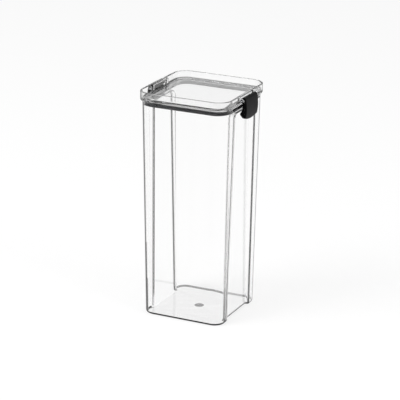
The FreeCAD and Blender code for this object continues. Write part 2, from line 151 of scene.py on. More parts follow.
white = add_node(tree, "ShaderNodeBackground", {"Color": (1, 1, 1, 1), "Strength": level.outputs[0]})
add_node(tree, "ShaderNodeOutputWorld", {"Surface": white.outputs[0]})
print("room light:", ROOM_FILL, "as fill,", ROOM_MIRRORED, "mirrored,", ROOM_SEEN, "where it is seen")

# %% [markdown]
# The floor is one large sheet of white paper. A plane is enough for it, because only its colour and the
# soft shadow on it are seen. Where something looks at it, directly, mirrored or through the plastic, most
# of its white is a glow of its own. The rest is lit, so that it is nearly as white as the room and still
# takes the canister's shadow.

# %% Floor
FLOOR_SIZE = 8
FLOOR_GLOW, FLOOR_SEEN, FLOOR_PAPER = 0.78, 0.26, 0.85
bpy.ops.object.select_all(action="DESELECT")
bpy.ops.mesh.primitive_plane_add(size=FLOOR_SIZE)
floor = bpy.context.object
floor.name = "floor_sheet"
paper, tree = new_finish("white_paper")
rays = add_node(tree, "ShaderNodeLightPath")
mirrored_or_seen = add_node(tree, "ShaderNodeMath", {
    0: rays.outputs["Is Camera Ray"], 1: rays.outputs["Is Glossy Ray"]}, operation="MAXIMUM")
looked_at = add_node(tree, "ShaderNodeMath", {
    0: mirrored_or_seen.outputs[0], 1: rays.outputs["Is Transmission Ray"]}, operation="MAXIMUM")
glow = add_node(tree, "ShaderNodeMath", {0: looked_at.outputs[0], 1: FLOOR_GLOW}, operation="MULTIPLY")
shade = add_node(tree, "ShaderNodeMapRange", {
    "Value": looked_at.outputs[0], "To Min": FLOOR_PAPER, "To Max": FLOOR_SEEN})
lit = add_node(tree, "ShaderNodeBsdfDiffuse", {"Color": shade.outputs[0]})
glowing = add_node(tree, "ShaderNodeEmission", {"Strength": glow.outputs[0]})
both = add_node(tree, "ShaderNodeAddShader", {0: lit.outputs[0], 1: glowing.outputs[0]})
add_node(tree, "ShaderNodeOutputMaterial", {"Surface": both.outputs[0]})
floor.data.materials.append(paper)
print(floor.name, "is", FLOOR_SIZE, "m wide")

# %% [markdown]
# Two soft lamps light the canister as in a small studio: a large one in front on the left, and a weaker one
# on the right. Area lamps are used, because a broad light gives the latch soft highlights and the canister
# a soft shadow. A point lamp would make both of them hard.

# %% Lamps
def soft_lamp(name, place, power, size):
    """Square lamp that faces the middle of the canister."""
    bpy.ops.object.select_all(action="DESELECT")
    bpy.ops.object.light_add(type="AREA", location=place)
    lamp = bpy.context.object
    lamp.name = name
    lamp.data.energy = power
    lamp.data.size = size
    lamp.rotation_euler = (AIM - Vector(place)).to_track_quat("-Z", "Y").to_euler()
    print(name, "stands", round((AIM - Vector(place)).length, 2), "m away")


soft_lamp("key_lamp", place=(-1.0, -1.2, 1.5), power=22, size=1.2)
soft_lamp("side_lamp", place=(1.5, -0.3, 1.1), power=9, size=0.9)

# %% [markdown]
# The canister and lid are injection-moulded clear plastic, such as SAN. A clear wall seen flat-on is nearly
# invisible. Seen edge-on it looks grey, which draws the dark lines of a clear box, and here those lines are
# painted shade: faces seen at a glancing angle are painted grey and partly held back as if solid. One
# painted greying for the whole piece would make some of its lines too faint and others too dark. Each kind of
# face gets its own, and one table holds them all.

# %% Kinds of clear face
# Painted shade, flat-on and edge-on: the painted grey, and the share that is held back as if solid. Then the
# glances between which one changes to the other: 0 is flat-on, 1 is edge-on
CLEAR_KINDS = {
    "wall": ("#ffffff", 0.0, "#303030", 0.0, 0.71, 0.97),
    # The floor's faces are painted light grey: painted shade under the canister, seen through its floor
    "base": ("#f0f0f0", 0.0, "#e8e8e8", 0.0, 0.6, 0.97),
    "rim": ("#e0e0e0", 0.0, "#808080", 0.1, 0.6, 0.97),
    "corner": ("#ffffff", 0.0, "#282828", 0.9, 0.48, 0.66),
    # The back corners get painted lines of their own, fainter than the front ones: painted shade by side
    "right corner": ("#ffffff", 0.0, "#303030", 0.8, 0.42, 0.64),
    "back corner": ("#ffffff", 0.0, "#303030", 0.7, 0.5, 0.72),
    "low corner": ("#ffffff", 0.0, "#282828", 0.9, 0.42, 0.6),
    "foot corner": ("#ffffff", 0.0, "#282828", 0.9, 0.36, 0.54),
    "lid corner": ("#f8f8f8", 0.0, "#303030", 0.65, 0.34, 0.74),
    "round": ("#404040", 0.3, "#181818", 0.9, 0.4, 0.62),
    "front round": ("#303030", 0.55, "#181818", 0.95, 0.35, 0.58),
    "far round": ("#505050", 0.2, "#282828", 0.7, 0.4, 0.62),
    # Nearly solid black: painted shade at the foot where it meets the floor, under the ledges and over the
    # seal
    "painted shade edge": ("#181818", 0.95, "#101010", 1.0, 0.4, 0.8),
    "faint fold": ("#707070", 0.12, "#707070", 0.12, 0.4, 0.9),
    "plate edge": ("#505050", 0.4, "#404040", 0.5, 0.4, 0.8),
    "plug edge": ("#404040", 0.3, "#303030", 0.5, 0.4, 0.9),
    "gate": ("#606060", 0.2, "#404040", 0.2, 0.5, 0.9),
}
KIND = {name: slot for slot, name in enumerate(CLEAR_KINDS)}
print("kinds of clear face:", list(CLEAR_KINDS))

# %% [markdown]
# The mould is polished, so the plastic is smooth and bright, with a refractive index of about 1.57. It
# absorbs a little light on the way through. Where it is seen at a glancing angle its faces are painted grey,
# as painted shade for the dark lines of its edges. Each kind of face could have a material of its own, but
# that would confuse the absorption, which is counted from the face where the light enters to a face of the
# same material. So there is one material, and it reads the painted greying from attributes of the faces.

# %% Clear plastic
PLASTIC_IOR, GREY_PER_MM = 1.57, 0.006
# The photograph's soft light leaves hardly any reflection on a wall seen flat-on
FLAT_MIRROR = linear("#707070")
# Slow ripples of a moulded wall, from crest to crest, and wipe marks, which dull the polish a little
RIPPLE, WIPE_MARK = 25 * MM, 6 * MM
clear_plastic, tree = new_finish("clear_moulded_plastic")
place = add_node(tree, "ShaderNodeTexCoord")
# Each face's painted shade: its grey and its held-back share, turned up at a glancing angle
grey = add_node(tree, "ShaderNodeAttribute", attribute_name="grey")
held = add_node(tree, "ShaderNodeAttribute", attribute_name="held_back")
greys = add_node(tree, "ShaderNodeSeparateXYZ", {"Vector": grey.outputs["Vector"]})
shares = add_node(tree, "ShaderNodeSeparateXYZ", {"Vector": held.outputs["Vector"]})
glance = add_node(tree, "ShaderNodeLayerWeight", {"Blend": 0.5})
turned = add_node(tree, "ShaderNodeMapRange", {
    "Value": glance.outputs["Facing"], "From Min": greys.outputs["Z"], "From Max": shares.outputs["Z"]},
    interpolation_type="SMOOTHSTEP")
passed = add_node(tree, "ShaderNodeMix", {
    "Factor": turned.outputs[0], "A": greys.outputs["X"], "B": greys.outputs["Y"]})
clear_share = add_node(tree, "ShaderNodeMapRange", {
    "Value": turned.outputs[0], "To Min": shares.outputs["X"], "To Max": shares.outputs["Y"]})
ripples = add_node(tree, "ShaderNodeTexNoise", {
    "Vector": place.outputs["Object"], "Scale": 1 / RIPPLE, "Detail": 1.0})
relief = add_node(tree, "ShaderNodeBump", {
    "Strength": 0.02, "Distance": 0.1 * MM, "Height": ripples.outputs[0]})
wipes = add_node(tree, "ShaderNodeTexNoise", {
    "Vector": place.outputs["Object"], "Scale": 1 / WIPE_MARK, "Detail": 4.0})
polish = add_node(tree, "ShaderNodeMapRange", {
    "Value": wipes.outputs[0], "From Min": 0.35, "From Max": 0.75, "To Min": 0.0, "To Max": 0.02})
surface = add_node(tree, "ShaderNodeBsdfPrincipled", {
    "Base Color": passed.outputs[0], "Roughness": polish.outputs[0], "IOR": PLASTIC_IOR,
    "Specular Tint": FLAT_MIRROR, "Transmission Weight": clear_share.outputs[0],
    "Normal": relief.outputs[0]})
inside = add_node(tree, "ShaderNodeVolumeAbsorption", {
    "Color": (0.0, 0.0, 0.0, 1), "Density": GREY_PER_MM / MM})
add_node(tree, "ShaderNodeOutputMaterial", {"Surface": surface.outputs[0], "Volume": inside.outputs[0]})
print("clear finish:", clear_plastic.name)

# %% [markdown]
# While a clear piece is modelled, each kind of face has a material slot of its own, because cuts and bevels
# carry slots along by themselves. All slots hold the same plastic. When the piece is done, each face's slot
# is looked up, its greying is written to the attributes that the plastic reads, and one slot is left.

# %% Slots and greying of clear faces
CLEAR = (clear_plastic,) * len(CLEAR_KINDS)


def grade_faces(piece):
    """Write what each face needs from its slot, and leave one slot."""
    grey = piece.data.attributes.new("grey", "FLOAT_VECTOR", "FACE")
    held_back = piece.data.attributes.new("held_back", "FLOAT_VECTOR", "FACE")
    kinds = list(CLEAR_KINDS.values())
    used = set()
    for face in piece.data.polygons:
        flat_grey, flat_share, edge_grey, edge_share, first, last = kinds[face.material_index]
        grey.data[face.index].vector = (linear(flat_grey)[0], linear(edge_grey)[0], first)
        held_back.data[face.index].vector = (1 - flat_share, 1 - edge_share, last)
        used.add(face.material_index)
        face.material_index = 0
    piece.data.materials.clear()
    piece.data.materials.append(clear_plastic)
    print(f"{piece.name}: {len(used)} kinds of clear face")


print("slots on a clear piece:", len(CLEAR))

# %% [markdown]
# The canister is a square block with round corners that widens upwards, as any moulding must to leave its
# mould. It could be a cube with bevelled edges, but the corners of the real one widen with the walls. So a
# plane with bevelled corners is extruded, and the points of its top are moved outwards. The same helper
# makes the hollow, the lid and the seal.

# %% Rounded block
CORNER_STEPS = 14
# A face counts as square to an axis when its normal lies this much along it
SQUARE_ON = 0.995


def settle(finishes=CLEAR):
    """Put the place of the primitive that was just added into its mesh, and give it its slots."""
    piece = bpy.context.object
    bpy.ops.object.transform_apply(location=True, rotation=True, scale=True)
    for finish in finishes:
        piece.data.materials.append(finish)
    return piece


def rounded_block(name, half, corner, bottom, top, spread=0.0, finishes=CLEAR, corner_slot=KIND["wall"]):
    """Upright block with round corners, from a plane; spread widens its top all round. All in mm."""
    bpy.ops.object.select_all(action="DESELECT")
    bpy.ops.mesh.primitive_plane_add(size=2 * half * MM, location=(0, 0, bottom * MM))
    block = settle(finishes)
    block.name = name
    bpy.ops.object.mode_set(mode="EDIT")
    bpy.ops.mesh.select_all(action="SELECT")
    bpy.ops.mesh.bevel(offset=corner * MM, segments=CORNER_STEPS, affect="VERTICES")
    bpy.ops.mesh.select_all(action="SELECT")
    bpy.ops.mesh.extrude_region_move(TRANSFORM_OT_translate={"value": (0, 0, (top - bottom) * MM)})
    mesh = bmesh.from_edit_mesh(block.data)
    middle = (half - corner) * MM
    for point in mesh.verts:
        if point.select:
            x, y, z = point.co
            centre = Vector((math.copysign(middle, x), math.copysign(middle, y), z))
            point.co += (point.co - centre).normalized() * (spread * MM)
    bmesh.update_edit_mesh(block.data)
    bpy.ops.mesh.select_all(action="SELECT")
    bpy.ops.mesh.normals_make_consistent(inside=False)
    bpy.ops.object.mode_set(mode="OBJECT")
    for face in block.data.polygons:
        if max(abs(part) for part in face.normal) < SQUARE_ON:
            face.material_index = corner_slot
    print(f"{name}: block from {bottom:.2f} to {top:.2f} mm, {2 * half:.2f} mm wide at the bottom")
    return block


print("each corner of a block has", CORNER_STEPS, "steps")

# %% [markdown]
# The recesses, the hollow and the pockets are cut out of a block by another block, and the plug is joined
# to the lid. All of it could be extruded and inset on one mesh, but with separate blocks each size stays in
# one place. Boolean modifiers do it, applied at once. An operator acts on all that is selected, so one more
# helper first makes a piece the only selected one.

# %% Cut and join
# Points closer than this, in mm, are merged, and faces that differ by less than this angle are joined
MERGE_WITHIN, FLAT_ANGLE = 0.005, math.radians(0.05)


def work_on(piece):
    """Make one piece the only selected and active object."""
    bpy.ops.object.select_all(action="DESELECT")
    piece.select_set(True)
    bpy.context.view_layer.objects.active = piece


def combine(piece, tool, operation):
    """Cut or join a piece with a tool, which is used up."""
    work_on(piece)
    step = piece.modifiers.new(operation.lower(), "BOOLEAN")
    step.operation = operation
    step.solver = "EXACT"
    step.object = tool
    bpy.ops.object.modifier_apply(modifier=step.name)
    bpy.data.objects.remove(tool, do_unlink=True)
    # The cut leaves doubled points and split flats, which would spoil a later bevel
    bpy.ops.object.mode_set(mode="EDIT")
    bpy.ops.mesh.select_mode(type="EDGE")
    bpy.ops.mesh.select_all(action="SELECT")
    bpy.ops.mesh.remove_doubles(threshold=MERGE_WITHIN * MM)
    bpy.ops.mesh.dissolve_limited(angle_limit=FLAT_ANGLE, delimit={"MATERIAL"})
    bpy.ops.object.mode_set(mode="OBJECT")
    print(f"{piece.name}: {operation.lower()} leaves {len(piece.data.polygons)} faces")


print("after a cut, points within", MERGE_WITHIN, "mm are merged")

# %% [markdown]
# A moulded edge is never sharp. The bevel operator could round each edge in edit mode, but a Bevel modifier
# can give each edge its own share of the width by a weight. The edges are chosen in code by where their two
# ends lie, and the new faces go into the slot of their kind. When a piece is done it is shaded smooth, with
# weighted normals, so that its flat walls still look flat beside the rounds.

# %% Round and smooth
# Places closer than this, in mm, are the same
TOUCH = 0.02
SHARP_ANGLE, SMOOTH_ANGLE = math.radians(30), math.radians(35)


def round_edges(piece, wanted, width, slot, steps=3):
    """Bevel sharp edges. The test gets an edge's two ends and says no, yes, or which share of the width."""
    work_on(piece)
    bpy.ops.object.mode_set(mode="EDIT")
    mesh = bmesh.from_edit_mesh(piece.data)
    weight = mesh.edges.layers.float.new("bevel_weight_edge")
    count = 0
    for edge in mesh.edges:
        ends = [point.co / MM for point in edge.verts]
        sharp = len(edge.link_faces) == 2 and edge.calc_face_angle() > SHARP_ANGLE
        edge[weight] = float(wanted(*ends)) if sharp else 0.0
        count += edge[weight] > 0
    bmesh.update_edit_mesh(piece.data)
    bpy.ops.object.mode_set(mode="OBJECT")
    step = piece.modifiers.new("round", "BEVEL")
    step.limit_method = "WEIGHT"
    step.width = width * MM
    step.segments = steps
    step.material = slot
    step.use_clamp_overlap = False
    bpy.ops.object.modifier_apply(modifier=step.name)
    piece.data.attributes.remove(piece.data.attributes["bevel_weight_edge"])
    print(f"{piece.name}: {count} edges rounded by up to {width} mm")


def level_at(height):
    """Test for an edge that lies at a height."""
    return lambda first, second: abs(first.z - height) < TOUCH and abs(second.z - height) < TOUCH


def smooth(piece):
    """Smooth shading that keeps flat walls flat."""
    work_on(piece)
    bpy.ops.object.shade_smooth_by_angle(angle=SMOOTH_ANGLE)
    step = piece.modifiers.new("flat_walls", "WEIGHTED_NORMAL")
    step.keep_sharp = True
    bpy.ops.object.modifier_apply(modifier=step.name)
    print(f"{piece.name}: {len(piece.data.polygons)} faces")


print("edges that turn by more than", round(math.degrees(SHARP_ANGLE)), "degrees can be rounded")

# %% [markdown]
# Each latch side has a grip recess: the fingers find it, and its upper end is the ledge that the latch
# hooks under. It could be pushed in from the wall, but its back wall leans less than the wall itself. So a
# cube is tapered to the recess's shape, its corners are rounded, and it is cut out of the block.

# %% Grip recess
BASE_HALF = 45.3
GRIP_BACK, GRIP_HALF, LEDGE_Z = 41.7, 26.6, 224.0
BACK_LEAN = math.tan(math.radians(0.42))
SIDE_LEAN = math.tan(math.radians(0.7))
# The recess's two upper corners, and the folds round its back wall
GRIP_ROUND, FOLD_ROUND = 5.0, 0.7
# The cutter starts this far below the foot, and its middle lies this far outside it
CUT_BELOW, CUT_OUTSIDE = 4.0, 20.0
# What lies before this place is at the front, and edges are looked for within NEAR of a size
FRONT_Y, NEAR = -10.0, 1.0


def grip_cutter(inset, side):
    """Tapered cutter for one grip recess, set in by a wall thickness."""
    low, high, outer_x = -CUT_BELOW, LEDGE_Z + inset, BASE_HALF + CUT_OUTSIDE
    bpy.ops.object.select_all(action="DESELECT")
    bpy.ops.mesh.primitive_cube_add(size=MM, location=(side * outer_x * MM, 0, (low + high) / 2 * MM),
                                    scale=(outer_x, 2 * GRIP_HALF, high - low))
    cutter = settle()
    cutter.name = "grip_cutter"
    bpy.ops.object.mode_set(mode="EDIT")
    mesh = bmesh.from_edit_mesh(cutter.data)
    for point in mesh.verts:
        x, y, z = point.co / MM
        if abs(x) < outer_x:
            point.co.x = side * (GRIP_BACK - inset + z * BACK_LEAN) * MM
        point.co.y = math.copysign(GRIP_HALF + inset - z * SIDE_LEAN, y) * MM
    bmesh.update_edit_mesh(cutter.data)
    bpy.ops.object.mode_set(mode="OBJECT")

    def upper_corner(first, second):
        return level_at(high)(first, second) and abs(first.y - second.y) < NEAR

    def back_fold(first, second):
        return max(abs(first.x), abs(second.x)) < BASE_HALF + NEAR

    round_edges(cutter, upper_corner, GRIP_ROUND + inset, KIND["wall"], steps=8)
    round_edges(cutter, back_fold, FOLD_ROUND + inset, KIND["faint fold"], steps=5)
    for face in cutter.data.polygons:
        if inset > 0 or face.center.y > FRONT_Y * MM:
            face.material_index = KIND["wall"]
    return cutter


print("grip recess is", 2 * GRIP_HALF, "mm wide at the foot and ends at", LEDGE_Z, "mm")

# %% [markdown]
# One function makes the canister's outside, and the hollow as a smaller block with larger cutters, so a
# wall of even thickness is left between the two. A Solidify modifier could give the wall as well, but the
# inside has rounds of its own. The edges that the recesses leave in the walls are rounded, a little more
# round the ledge, where the fingers reach under it.

# %% Canister block
BASE_CORNER, RIM_Z, WALL = 12.0, 232.0, 1.6
WALL_LEAN = math.tan(math.radians(1.04))
EDGE_ROUND, LEDGE_ROUND = 1.3, 1.6
# Dry pieces touch with a film of air between them, which keeps the light inside the plastic
FILM = 0.06


def canister_block(name, inset, foot_round, corner_slot=KIND["wall"]):
    """Block with both grip recesses, its faces set in by a wall thickness."""
    bottom, top = inset, RIM_Z - FILM + inset
    half, corner = BASE_HALF - inset + bottom * WALL_LEAN, BASE_CORNER - inset + bottom * WALL_LEAN
    block = rounded_block(name, half, corner, bottom, top, spread=(top - bottom) * WALL_LEAN,
                          corner_slot=corner_slot)
    for side in (1, -1):
        combine(block, grip_cutter(inset, side), "DIFFERENCE")

    def on_latch_wall(point):
        return abs(abs(point.x) - (BASE_HALF - inset + point.z * WALL_LEAN)) < TOUCH

    def recess_or_base(first, second):
        if level_at(bottom)(first, second):
            return 1.0
        if not (on_latch_wall(first) and on_latch_wall(second) and abs(first.y) < GRIP_HALF + inset + NEAR):
            return 0.0
        height = (first.z + second.z) / 2
        near_ledge = min(max((height - LEDGE_Z + GRIP_ROUND) / GRIP_ROUND, 0), 1) if inset == 0 else 0
        return (EDGE_ROUND + (LEDGE_ROUND - EDGE_ROUND) * near_ledge) / foot_round

    round_edges(block, recess_or_base, foot_round, KIND["round"])
    return block


print("canister is", round(2 * (BASE_HALF + RIM_Z * WALL_LEAN), 1), "mm wide at the rim")

# %% [markdown]
# The same edge looks dark in one place and faint in another, by how the light falls on it. One kind for all
# rounds would draw them all alike. So the outer faces are sorted by where they lie, and the lines are painted
# shade that differs by side: the foot and the ledges get the darkest lines, the front edge of the right
# recess is next, and the far ones are fainter.

# %% Canister and hollow
FOOT_ROUND, HOLLOW_ROUND, RIM_ROUND = 2.6, 1.0, 0.5
# The part of the foot behind this place is faint
BACK_FOOT_Y = 30.0


def outer_kind(kind, x, y, z):
    """Kind of an outer face, from the one that it has and where it lies."""
    # The kinds differ by side, as painted shade of how the light falls, and not by the plastic
    if kind == KIND["corner"] and y > 0:
        return KIND["right corner"] if x > 0 else KIND["back corner"]
    if kind != KIND["round"]:
        return kind
    if z < FOOT_ROUND and x < 0 and abs(y) < GRIP_HALF + NEAR:
        return KIND["wall"]
    if z < FOOT_ROUND and y > BACK_FOOT_Y:
        return KIND["faint fold"]
    # The rounds of the foot and the ledges are painted nearly black, as painted shade at the floor and under
    # the ledges
    if z < FOOT_ROUND or z > LEDGE_Z - EDGE_ROUND:
        return KIND["painted shade edge"]
    if x > 0:
        return KIND["front round"] if y < 0 else KIND["far round"]
    return KIND["wall"] if y < 0 else kind


canister = canister_block("clear_canister", 0.0, FOOT_ROUND, KIND["corner"])
for face in canister.data.polygons:
    face.material_index = outer_kind(face.material_index, *(face.center / MM))
hollow = canister_block("hollow", WALL, HOLLOW_ROUND)
for face in hollow.data.polygons:
    x, y, z = face.center / MM
    # Inside, only the front edge of the right recess is seen as a line
    if face.material_index == KIND["round"] and (x < 0 or y > FRONT_Y or z < 2 * WALL or z > LEDGE_Z):
        face.material_index = KIND["wall"]
combine(canister, hollow, "DIFFERENCE")
# The floor is painted light grey, painted shade under the canister seen through it
for face in canister.data.polygons:
    if abs(face.normal.z) > SQUARE_ON and face.center.z < 2 * WALL * MM:
        face.material_index = KIND["base"]
round_edges(canister, level_at(RIM_Z - FILM), RIM_ROUND, KIND["rim"])

# %% [markdown]
# The lines along the front and right corners are drawn darker and broader towards the foot. A finish that
# changes with height could do it, but the kinds of face already say how dark a line is. So the walls are
# split at two heights by bisecting, and the lower corner faces get stronger kinds.

# %% Darker corners towards the foot
FOOT_CORNER_TOP, LOW_CORNER_TOP = 40.0, 80.0
work_on(canister)
bpy.ops.object.mode_set(mode="EDIT")
for height in (FOOT_CORNER_TOP, LOW_CORNER_TOP):
    bpy.ops.mesh.select_all(action="SELECT")
    bpy.ops.mesh.bisect(plane_co=(0, 0, height * MM), plane_no=(0, 0, 1))
bpy.ops.object.mode_set(mode="OBJECT")
for face in canister.data.polygons:
    height = face.center.z / MM
    if face.material_index in (KIND["corner"], KIND["right corner"]) and height < LOW_CORNER_TOP:
        face.material_index = KIND["foot corner"] if height < FOOT_CORNER_TOP else KIND["low corner"]
print("canister split at", FOOT_CORNER_TOP, "and", LOW_CORNER_TOP, "mm")

# %% [markdown]
# The plastic enters the mould at the middle of the floor and leaves a small round mark there. It shows
# through the clear floor, so it is cut as a real recess with a short cylinder, and not drawn by the finish.

# %% Gate mark under the floor
GATE_RADIUS, GATE_DEPTH, GATE_STEPS = 5.0, 0.6, 48
bpy.ops.object.select_all(action="DESELECT")
bpy.ops.mesh.primitive_cylinder_add(vertices=GATE_STEPS, radius=GATE_RADIUS * MM, depth=2 * GATE_DEPTH * MM)
gate = settle()
for face in gate.data.polygons:
    face.material_index = KIND["gate"]
combine(canister, gate, "DIFFERENCE")
smooth(canister)
grade_faces(canister)
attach(canister, "canister")
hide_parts("canister_body")

# %% [markdown]
# The lid starts as one more rounded block. A second block is cut out of its top, which leaves a flat plate
# inside a rim that keeps a second canister in place. On two sides a boss fills the rim behind the latch. It
# ends a little below the rim's top, so that the line of the rim runs on over it. A boss could be joined to
# the lid afterwards. Here the bosses are cut out of the second block before that is used, so that one cut
# leaves the plate and both bosses.

# %% Rim, plate and bosses of the lid
LID_HALF, LID_CORNER, LID_TOP = 51.0, 15.5, 242.0
STACK_WALL, PLATE_TOP = 2.2, 234.6
BOSS_FACE, BOSS_TOP, BOSS_ROUND, LUG_END = 46.67, 241.2, 1.2, 16.85
# Cutters reach this far past the piece, and blocks that are cut or joined overlap by this much
OVERSHOOT, OVERLAP = 5.0, 1.0


def box_tool(low, high):
    """Box between two corners in mm."""
    bpy.ops.object.select_all(action="DESELECT")
    middle = (Vector(low) + Vector(high)) / 2 * MM
    bpy.ops.mesh.primitive_cube_add(size=MM, location=middle, scale=Vector(high) - Vector(low))
    return settle()


def boss_edge(first, second):
    """The boss's inner upper edge."""
    return level_at(BOSS_TOP)(first, second) and abs(first.x + second.x) < 2 * BOSS_FACE + NEAR


lid = rounded_block("clear_lid", LID_HALF, LID_CORNER, RIM_Z, LID_TOP, corner_slot=KIND["lid corner"])
stack = rounded_block("stack", LID_HALF - STACK_WALL, LID_CORNER - STACK_WALL, PLATE_TOP,
                      LID_TOP + OVERSHOOT)
for side in (1, -1):
    near, far = sorted((side * BOSS_FACE, side * (LID_HALF + OVERSHOOT)))
    boss = box_tool((near, -LUG_END, PLATE_TOP - OVERLAP), (far, LUG_END, BOSS_TOP))
    boss.name = "boss"
    round_edges(boss, boss_edge, BOSS_ROUND, KIND["wall"], steps=4)
    combine(stack, boss, "DIFFERENCE")
combine(lid, stack, "DIFFERENCE")

# %% [markdown]
# The lid's edges are rounded next, each with its own radius, so they are done one height at a time. Along
# the latch sides the rim's inner round gets a faint painted line, and so does the plate's edge at the back.
# The lowest strip of the lower round is painted nearly black, a painted shade line over the seal.

# %% Edges of the lid
PLATE_ROUND, LID_RIM_ROUND, LOWER_ROUND = 1.0, 0.6, 1.2
# Share of the lower round that is painted dark as shade, and the place behind which the plate's edge is faint
DARK_SHARE, BACK_PLATE_Y = 0.2, 40.0
round_edges(lid, level_at(PLATE_TOP), PLATE_ROUND, KIND["plate edge"], steps=4)
round_edges(lid, level_at(LID_TOP), LID_RIM_ROUND, KIND["rim"])
for face in lid.data.polygons:
    inner_side = abs(face.center.x) < (LID_HALF - STACK_WALL + LID_RIM_ROUND) * MM
    if face.material_index == KIND["rim"] and inner_side and abs(face.center.y) < LUG_END * MM:
        face.material_index = KIND["faint fold"]
round_edges(lid, level_at(RIM_Z), LOWER_ROUND, KIND["wall"], steps=4)
for face in lid.data.polygons:
    if TOUCH < face.center.z / MM - RIM_Z < DARK_SHARE * LOWER_ROUND:
        face.material_index = KIND["painted shade edge"]
    elif face.material_index == KIND["plate edge"] and face.center.y > BACK_PLATE_Y * MM:
        face.material_index = KIND["faint fold"]

# %% [markdown]
# Under the plate a hollow plug reaches into the mouth, with a bead at its end that holds the seal. They
# could be extruded from the plate's underside, but blocks of the same sizes cut the seal's seat later on.
# So two blocks are joined to the lid, and a smaller one with a rounded end is cut out, which lets the
# plug's wall run into the plate in a soft curve. The bead's outer edge is rounded less than the inner one.

# %% Plug under the lid
PLUG_BOTTOM, BEAD_TOP, BEAD_STEP = 227.0, 228.2, 1.4
PLUG_HALF, PLUG_CORNER, PLUG_WALL = 45.29, 12.06, 1.7
CORE_ROUND, PLUG_ROUND, OUTER_SHARE = 2.0, 1.5, 0.25
# A point this much inside an outline, in mm, still counts as on it
EDGE_SLACK = 0.1


def outside(point, half, corner):
    """True for a point on or beyond an upright rounded square."""
    middle = half - corner
    x, y = max(abs(point.x) - middle, 0), max(abs(point.y) - middle, 0)
    return math.hypot(x, y) > corner - EDGE_SLACK


def plug_end(first, second):
    """Share of the round that an edge at the plug's end gets."""
    if not level_at(PLUG_BOTTOM)(first, second):
        return 0.0
    return OUTER_SHARE if outside(first, PLUG_HALF, PLUG_CORNER) else 1.0


plug = rounded_block("plug", PLUG_HALF, PLUG_CORNER, PLUG_BOTTOM, RIM_Z + OVERLAP)
combine(lid, plug, "UNION")
bead = rounded_block("bead", PLUG_HALF + BEAD_STEP, PLUG_CORNER + BEAD_STEP, PLUG_BOTTOM, BEAD_TOP)
combine(lid, bead, "UNION")
core = rounded_block("core", PLUG_HALF - PLUG_WALL, PLUG_CORNER - PLUG_WALL, PLUG_BOTTOM - OVERLAP, RIM_Z)
round_edges(core, level_at(RIM_Z), CORE_ROUND, KIND["wall"], steps=6)
combine(lid, core, "DIFFERENCE")
round_edges(lid, plug_end, PLUG_ROUND, KIND["plug edge"], steps=4)
print("lid with its plug has", len(lid.data.polygons), "faces")

# %% [markdown]
# Two lugs on each boss carry the pin of the latch, and the pocket between them takes the latch's upper
# edge. The lugs could be made one by one, but one round bar along the hinge keeps them in line: its inner
# half is squared off to reach into the boss, the pocket then cuts its middle out, and a thinner bar drills
# the holes.

# %% Hinge lugs and pockets
PIVOT_X, PIVOT_Z = 52.4, 236.6
LUG_RADIUS, LUG_ROOT, PIN_HOLE, BAR_STEPS = 2.0, 49.9, 1.02, 32
POCKET_FACE, POCKET_END, POCKET_LOW, POCKET_HIGH = 48.07, 14.85, 234.25, 240.76


def pin_tool(x, radius, length):
    """Round bar along Y at a hinge's axis."""
    bpy.ops.object.select_all(action="DESELECT")
    bpy.ops.mesh.primitive_cylinder_add(vertices=BAR_STEPS, radius=radius * MM, depth=length * MM,
                                        location=(x * MM, 0, PIVOT_Z * MM), rotation=(math.pi / 2, 0, 0))
    return settle()


for side in (1, -1):
    lugs = pin_tool(side * PIVOT_X, LUG_RADIUS, 2 * LUG_END)
    work_on(lugs)
    bpy.ops.object.mode_set(mode="EDIT")
    mesh = bmesh.from_edit_mesh(lugs.data)
    for point in mesh.verts:
        if side * point.co.x < (PIVOT_X - TOUCH) * MM:
            point.co.x = side * LUG_ROOT * MM
            point.co.z = (PIVOT_Z + math.copysign(LUG_RADIUS, point.co.z - PIVOT_Z * MM)) * MM
    bmesh.update_edit_mesh(lugs.data)
    bpy.ops.mesh.select_all(action="SELECT")
    bpy.ops.mesh.remove_doubles(threshold=MERGE_WITHIN * MM)
    bpy.ops.mesh.normals_make_consistent(inside=False)
    bpy.ops.object.mode_set(mode="OBJECT")
    combine(lid, lugs, "UNION")
    near, far = sorted((side * POCKET_FACE, side * (LID_HALF + OVERSHOOT)))
    combine(lid, box_tool((near, -POCKET_END, POCKET_LOW), (far, POCKET_END, POCKET_HIGH)), "DIFFERENCE")
    combine(lid, pin_tool(side * PIVOT_X, PIN_HOLE, 2 * (LUG_END + OVERLAP)), "DIFFERENCE")
smooth(lid)
grade_faces(lid)
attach(lid, "lid")
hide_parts("lid_cover")

# %% [markdown]
# The seal is moulded silicone rubber. It is matt and slightly cloudy, and dust clings to it. One flat grey
# would look like paint, so a fine noise changes the grey and the gloss a little from place to place.

# %% Silicone
SILICONE_IOR, DUST_MARK = 1.41, 2 * MM
silicone, tree = new_finish("dark_silicone")
place = add_node(tree, "ShaderNodeTexCoord")
cloud = add_node(tree, "ShaderNodeTexNoise", {
    "Vector": place.outputs["Object"], "Scale": 1 / DUST_MARK, "Detail": 3.0})
# In a colour mix, inputs 6 and 7 are the two colours, and output 2 is the result
shade = add_node(tree, "ShaderNodeMix", {
    "Factor": cloud.outputs[0], 6: linear("#48484a"), 7: linear("#5a5a5c")}, data_type="RGBA")
dull = add_node(tree, "ShaderNodeMapRange", {"Value": cloud.outputs[0], "To Min": 0.5, "To Max": 0.68})
soft = add_node(tree, "ShaderNodeBsdfPrincipled", {
    "Base Color": shade.outputs[2], "Roughness": dull.outputs[0], "IOR": SILICONE_IOR,
    "Specular IOR Level": 0.12})
add_node(tree, "ShaderNodeOutputMaterial", {"Surface": soft.outputs[0]})
print("seal finish:", silicone.name)

